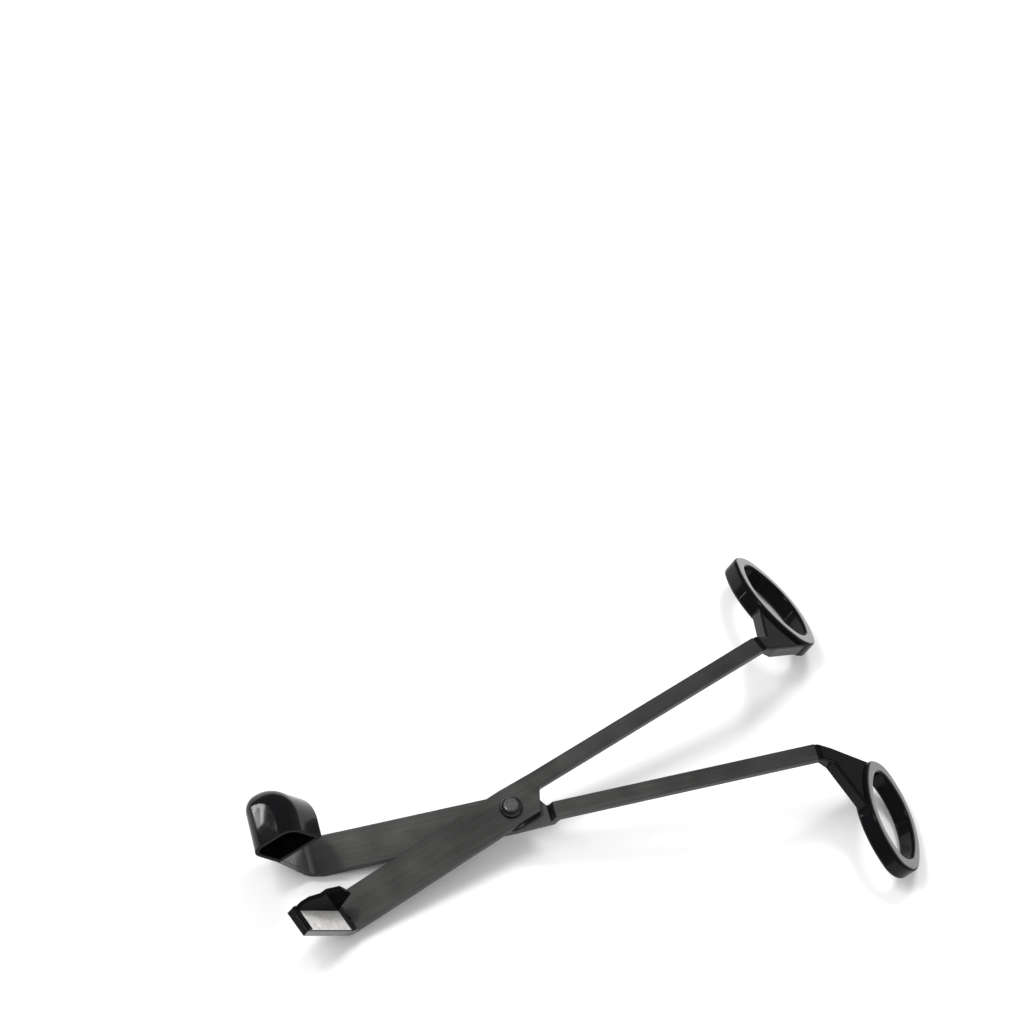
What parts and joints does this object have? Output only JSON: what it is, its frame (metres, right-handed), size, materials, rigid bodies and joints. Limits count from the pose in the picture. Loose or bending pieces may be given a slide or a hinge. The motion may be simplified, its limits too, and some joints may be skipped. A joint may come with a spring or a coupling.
{
  "type": "wick trimmer",
  "caption": "Scissor-action candle wick trimmer and snuffer with two finger rings, a tray jaw and a hooded jaw.",
  "frame": {"origin": "on the pivot axis, at the nut's outer face, which is flush with the end of the pivot screw", "axes": "+X from the pivot towards the finger rings along the bisector of the handles, +Y across the tool towards the front half's handle, +Z along the pivot axis to the front, the side of the domed screw head"},
  "size_m": [0.169, 0.1038, 0.0509],
  "materials": {
    "front_steel": "satin gunmetal, fine brushed along the strap",
    "rear_steel": "satin gunmetal, fine brushed along the strap",
    "front_ring_enamel": "glossy black enamel",
    "rear_ring_enamel": "glossy black enamel",
    "tray_enamel": "glossy black enamel",
    "press_enamel": "glossy black enamel",
    "hood_enamel": "glossy black enamel",
    "screw_steel": "black plated steel, polished dome",
    "friction_plastic": "natural nylon",
    "spring_steel": "bare spring steel",
    "nut_steel": "black plated steel"
  },
  "bodies": {
    "front_half": {"front_arm": "front_steel", "front_finger_ring": "front_ring_enamel", "wick_tray": "tray_enamel", "press_plate": "press_enamel", "pivot_screw": "screw_steel", "friction_washer": "friction_plastic", "spring_washer": "spring_steel", "pivot_nut": "nut_steel"},
    "rear_half": {"rear_arm": "rear_steel", "rear_finger_ring": "rear_ring_enamel", "snuffer_hood": "hood_enamel"}
  },
  "joints": [
    {"name": "pivot", "type": "hinge", "parent": "front_half", "child": "rear_half", "pos_m": [0, 0, 0.00468], "axis": [0, 0, 1], "range_deg": [-22, 13]}
  ]
}
